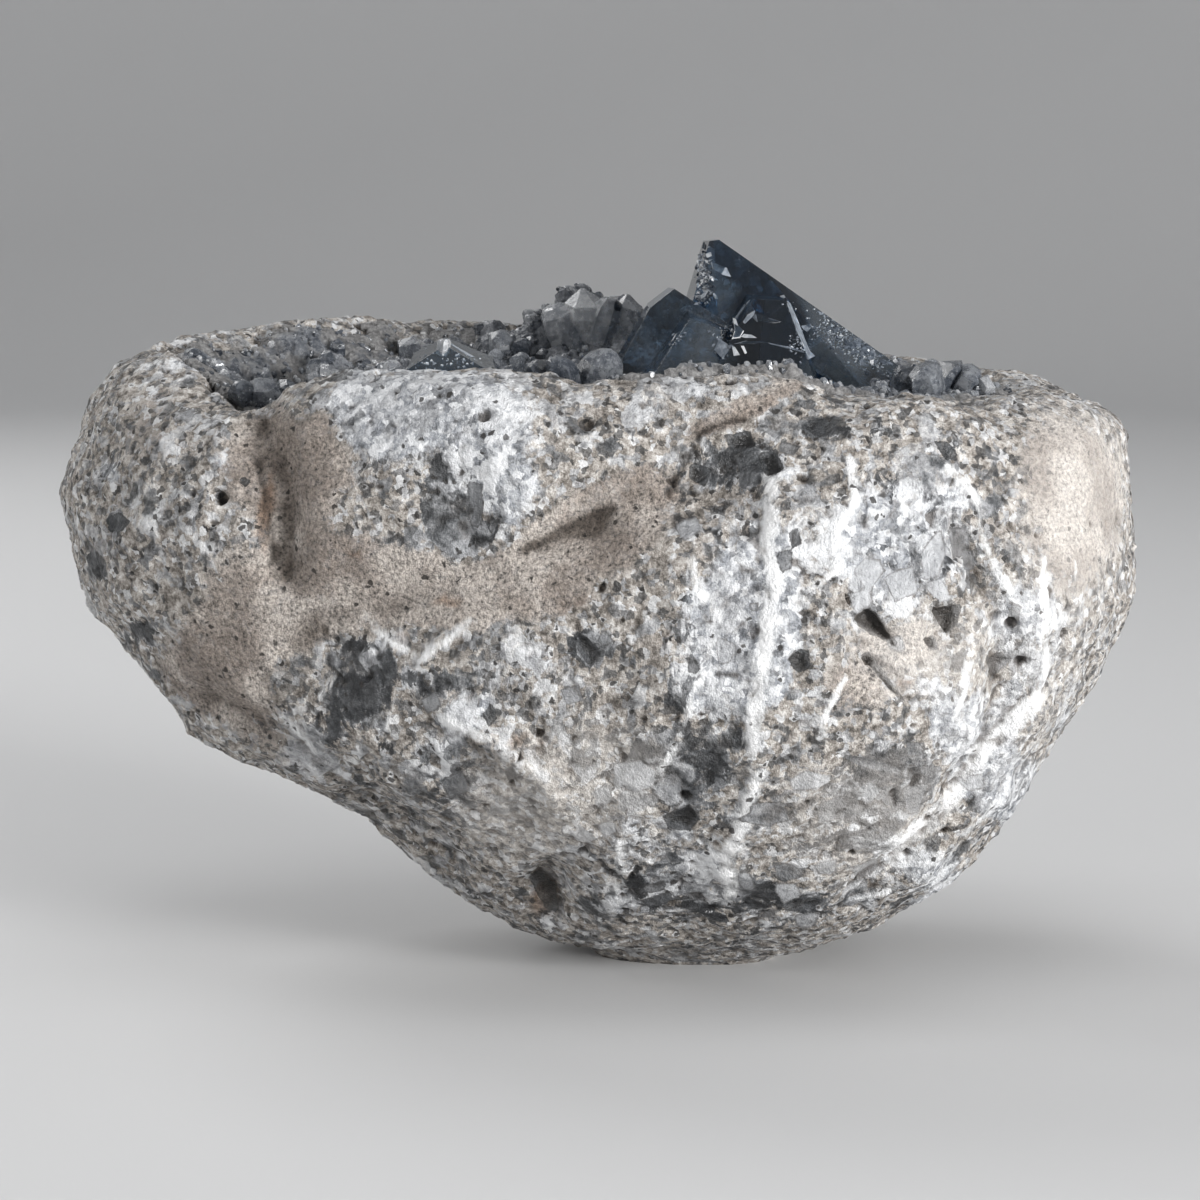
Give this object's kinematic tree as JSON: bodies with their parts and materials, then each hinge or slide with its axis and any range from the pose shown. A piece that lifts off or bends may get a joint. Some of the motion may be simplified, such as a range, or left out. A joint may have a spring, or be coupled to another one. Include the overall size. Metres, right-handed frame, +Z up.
{
  "type": "celestite geode",
  "caption": "Lump of pale rock, open at the top, its shallow hollow lined with blue-grey celestite crystals; large clear blades stand over the rim.",
  "frame": {"origin": "below the middle of the geode's box, at the level of the flat spot that it rests on", "axes": "+X along the rock's length, to the right in the picture; +Y to the back; +Z up, out of the hollow"},
  "size_m": [0.1988, 0.1376, 0.133],
  "materials": {
    "matrix_rock": "rough, granular and matt, with white grains and dark pits",
    "small_crystals": "glassy and cloudy, with glittering faces",
    "clear_celestite": "polished and clear, steel blue"
  },
  "bodies": {
    "root": {"rock": "matrix_rock", "crystal_crust": "small_crystals", "large_crystals": "clear_celestite", "pyramid_crystal": "clear_celestite"}
  },
  "joints": []
}
